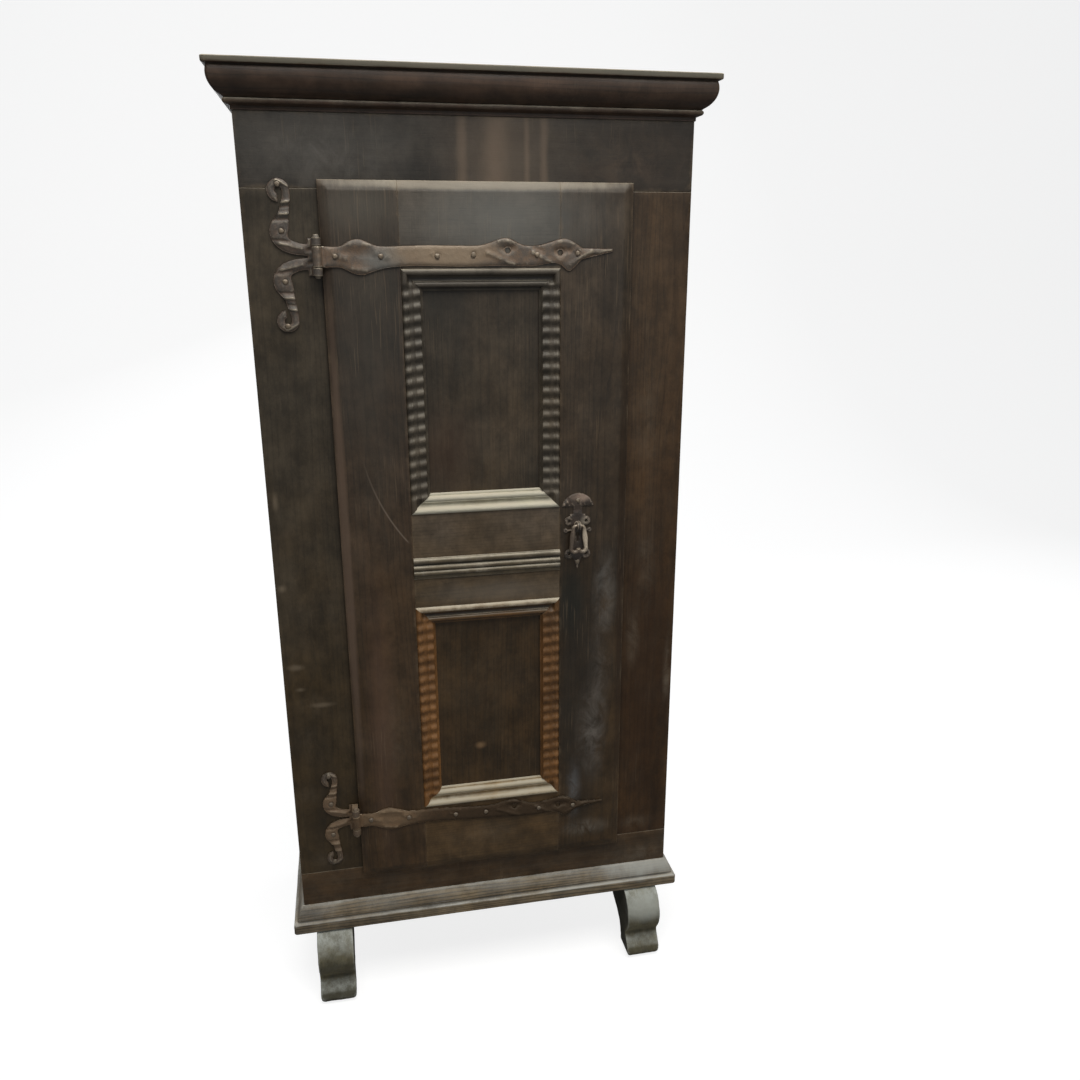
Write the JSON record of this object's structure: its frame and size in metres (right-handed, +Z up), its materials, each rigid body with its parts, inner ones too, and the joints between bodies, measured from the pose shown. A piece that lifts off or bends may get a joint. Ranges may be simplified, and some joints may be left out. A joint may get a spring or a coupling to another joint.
{
  "type": "bonnetiere cabinet",
  "caption": "Tall narrow oak cupboard with one panelled door on wrought strap hinges, a moulded cornice, a moulded base and scrolled front feet.",
  "frame": {"origin": "middle of the ground rectangle that the whole cupboard covers, on the floor", "axes": "+Z up; the door looks along -Y; +X to the right of someone facing the door"},
  "size_m": [0.876, 0.5006, 1.84],
  "materials": {
    "carcass_oak": "old dark waxed oak, worn",
    "door_oak": "old dark waxed oak with a dusty bloom",
    "panel_oak": "old dark waxed oak",
    "moulding_oak": "dark wax rubbed through on the high parts",
    "plinth_oak": "worn and dusty oak",
    "inner_oak": "bare aged boards",
    "wrought_iron": "hand-forged, brown with old rust",
    "lock_iron": "hand-forged, dark"
  },
  "bodies": {
    "carcass": {"back_boards": "inner_oak", "back_rails": "inner_oak", "base_back_rail": "plinth_oak", "base_corner_blocks": "plinth_oak", "base_moulding_front": "plinth_oak", "base_moulding_left": "plinth_oak", "base_moulding_right": "plinth_oak", "bottom_rail": "carcass_oak", "cornice_front": "plinth_oak", "cornice_left": "plinth_oak", "cornice_right": "plinth_oak", "feet_rear": "plinth_oak", "floor_board": "inner_oak", "foot_front_left": "plinth_oak", "foot_front_right": "plinth_oak", "frame_nails": "wrought_iron", "frieze_rail": "carcass_oak", "front_stile_left": "carcass_oak", "front_stile_right": "carcass_oak", "hinge_pins": "wrought_iron", "hinge_plate_lower": "wrought_iron", "hinge_plate_upper": "wrought_iron", "keeper": "lock_iron", "rear_post_left": "carcass_oak", "rear_post_right": "carcass_oak", "shelf_cleats": "inner_oak", "shelf_lower": "inner_oak", "shelf_middle": "inner_oak", "shelf_upper": "inner_oak", "side_panels_left": "carcass_oak", "side_panels_right": "carcass_oak", "side_rails_left": "carcass_oak", "side_rails_right": "carcass_oak", "side_stile_left": "carcass_oak", "side_stile_right": "carcass_oak", "top_board": "inner_oak"},
    "door": {"door_stile_hinge": "door_oak", "door_stile_lock": "door_oak", "door_rail_top": "door_oak", "door_rail_middle": "door_oak", "door_rail_bottom": "door_oak", "door_panel_upper": "panel_oak", "door_panel_lower": "panel_oak", "upper_moulding_top": "moulding_oak", "upper_moulding_bottom": "moulding_oak", "upper_moulding_sides": "moulding_oak", "lower_moulding_top": "moulding_oak", "lower_moulding_bottom": "moulding_oak", "lower_moulding_sides": "moulding_oak", "waist_moulding": "moulding_oak", "strap_hinge_upper": "wrought_iron", "strap_hinge_lower": "wrought_iron", "door_nails": "wrought_iron", "lock_plate": "wrought_iron", "pull_post": "wrought_iron", "lock_case": "lock_iron", "lock_spring": "lock_iron"},
    "pull": {"pull_ring": "wrought_iron"},
    "bolt": {"lock_bolt": "lock_iron"}
  },
  "joints": [
    {"name": "door_swing", "type": "hinge", "parent": "carcass", "child": "door", "pos_m": [-0.279, -0.2163, 1], "axis": [0, 0, -1], "range_deg": [0, 170]},
    {"name": "pull_swing", "type": "hinge", "parent": "door", "child": "pull", "pos_m": [0.186, -0.2198, 1.028], "axis": [-1, 0, 0], "range_deg": [0, 100]},
    {"name": "bolt_slide", "type": "slide", "parent": "door", "child": "bolt", "axis": [1, 0, 0], "range_m": [0, 0.014]}
  ]
}
